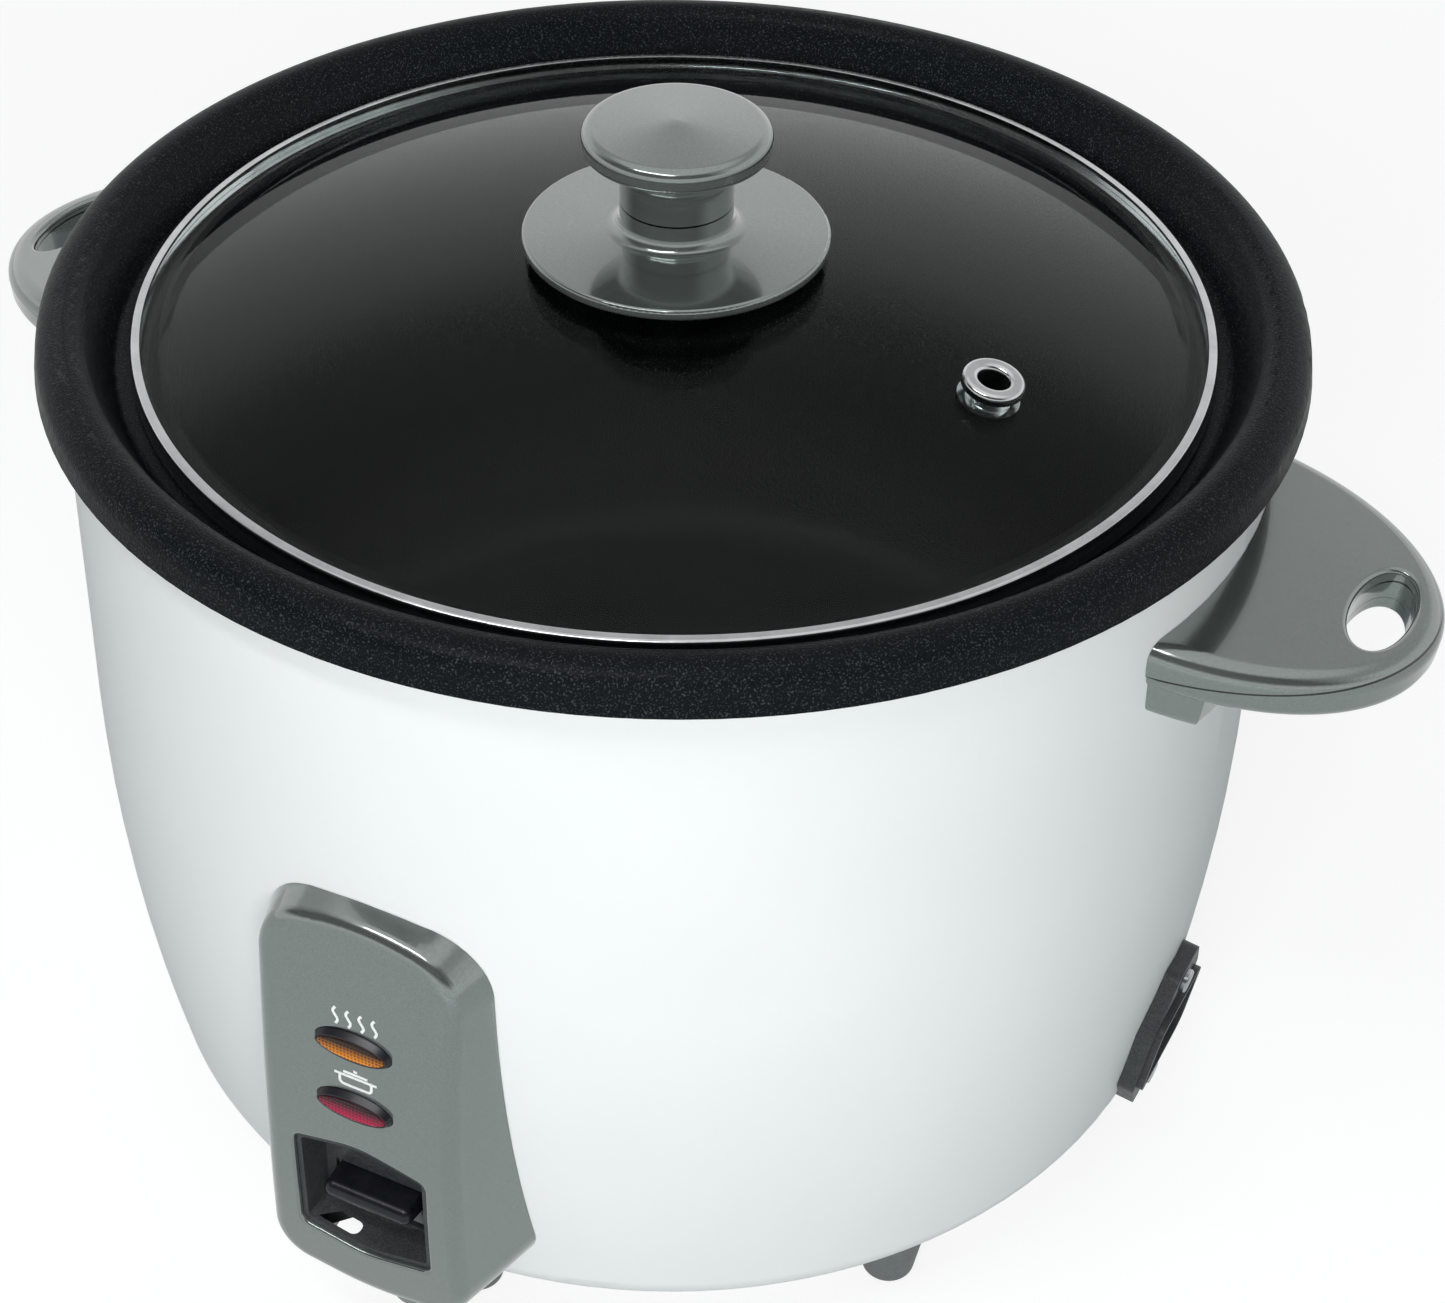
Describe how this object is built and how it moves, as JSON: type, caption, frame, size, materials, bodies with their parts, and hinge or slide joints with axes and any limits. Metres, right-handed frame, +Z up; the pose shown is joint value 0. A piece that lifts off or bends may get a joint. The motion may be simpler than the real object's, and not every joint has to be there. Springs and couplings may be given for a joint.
{
  "type": "rice cooker",
  "caption": "Drum rice cooker with a lift-out pot, glass lid with knob, side grips, front cook-lever panel and mains inlet.",
  "frame": {"origin": "on the floor under the middle of the object's plan outline; the pot's axis stands 3.7 mm behind it", "axes": "+X to the cooker's left-hand side seen from inside it, that is to the viewer's right when facing the switch panel; +Y from the panel to the back; +Z up"},
  "size_m": [0.3492, 0.2819, 0.2471],
  "materials": {
    "white_enamel": "gloss white enamel on steel",
    "nonstick": "dark speckled non-stick coating on aluminium",
    "grey_plastic": "satin-gloss warm grey",
    "foot_plastic": "dark grey",
    "dark_plastic": "fine-stippled dark grey",
    "black_plastic": "smooth black",
    "amber_lens": "clear tinted, ribbed",
    "red_lens": "clear tinted, ribbed",
    "lid_glass": "clear tempered",
    "bright_steel": "polished stainless",
    "zinc_steel": "zinc plated",
    "bare_aluminium": "spun and cast",
    "ferrite": "sintered",
    "brass": "bright"
  },
  "bodies": {
    "cooker": {"outer_shell": "white_enamel", "panel_housing": "grey_plastic", "handle_right_upper": "grey_plastic", "handle_right_lower": "grey_plastic", "handle_left_upper": "grey_plastic", "handle_left_lower": "grey_plastic", "feet": "foot_plastic", "switch_well": "dark_plastic", "lamp_holder": "dark_plastic", "inlet_shroud": "dark_plastic", "microswitch": "dark_plastic", "lamp_frames": "black_plastic", "lens_amber": "amber_lens", "lens_red": "red_lens", "indicator_lamps": "lid_glass", "base_cover": "zinc_steel", "base_screws": "zinc_steel", "plate_screws": "zinc_steel", "panel_screws": "zinc_steel", "inlet_screws": "zinc_steel", "handle_screws": "zinc_steel", "handle_clamp_screws": "zinc_steel", "switch_bracket": "zinc_steel", "pivot_pin": "zinc_steel", "sensor_sleeve": "zinc_steel", "heating_element": "zinc_steel", "inner_liner": "bare_aluminium", "heating_plate": "bare_aluminium", "warm_thermostat": "bare_aluminium", "thermal_fuse": "bare_aluminium", "inlet_pins": "brass"},
    "pot": {"inner_pot": "nonstick", "pot_rim": "nonstick"},
    "lid": {"lid_glass": "lid_glass", "lid_ring": "bright_steel", "vent_eyelet": "bright_steel", "knob_base": "grey_plastic", "knob_cap": "grey_plastic", "knob_washer": "zinc_steel", "knob_screw": "zinc_steel"},
    "lever": {"lever_arm": "zinc_steel", "lever_paddle": "black_plastic"},
    "magnet": {"magnet": "ferrite", "magnet_rod": "zinc_steel"},
    "sensor": {"sensor_cap": "bare_aluminium", "ferrite_disc": "ferrite", "sensor_spring": "zinc_steel"}
  },
  "joints": [
    {"name": "pot_lift", "type": "slide", "parent": "cooker", "child": "pot", "axis": [0, 0, 1], "range_m": [0, 0.16]},
    {"name": "lid_lift", "type": "slide", "parent": "pot", "child": "lid", "axis": [0, 0, 1], "range_m": [0, 0.1]},
    {"name": "cook_switch", "type": "hinge", "parent": "cooker", "child": "lever", "pos_m": [0, -0.0513, 0.034], "axis": [1, 0, 0], "range_deg": [0, 4], "stiffness_Nm_per_rad": 0.6, "springref_deg": -2.86},
    {"name": "magnet_lift", "type": "slide", "parent": "cooker", "child": "magnet", "axis": [0, 0, 1], "range_m": [0, 0.004]},
    {"name": "sensor_plunge", "type": "slide", "parent": "cooker", "child": "sensor", "axis": [0, 0, 1], "range_m": [-0.0015, 0], "stiffness_N_per_m": 400, "springref_m": 0.004, "deforming": ["sensor_spring"]}
  ],
  "couplings": [
    {"joint": "magnet_lift", "follows": "cook_switch", "m_per_rad": 0.055}
  ]
}
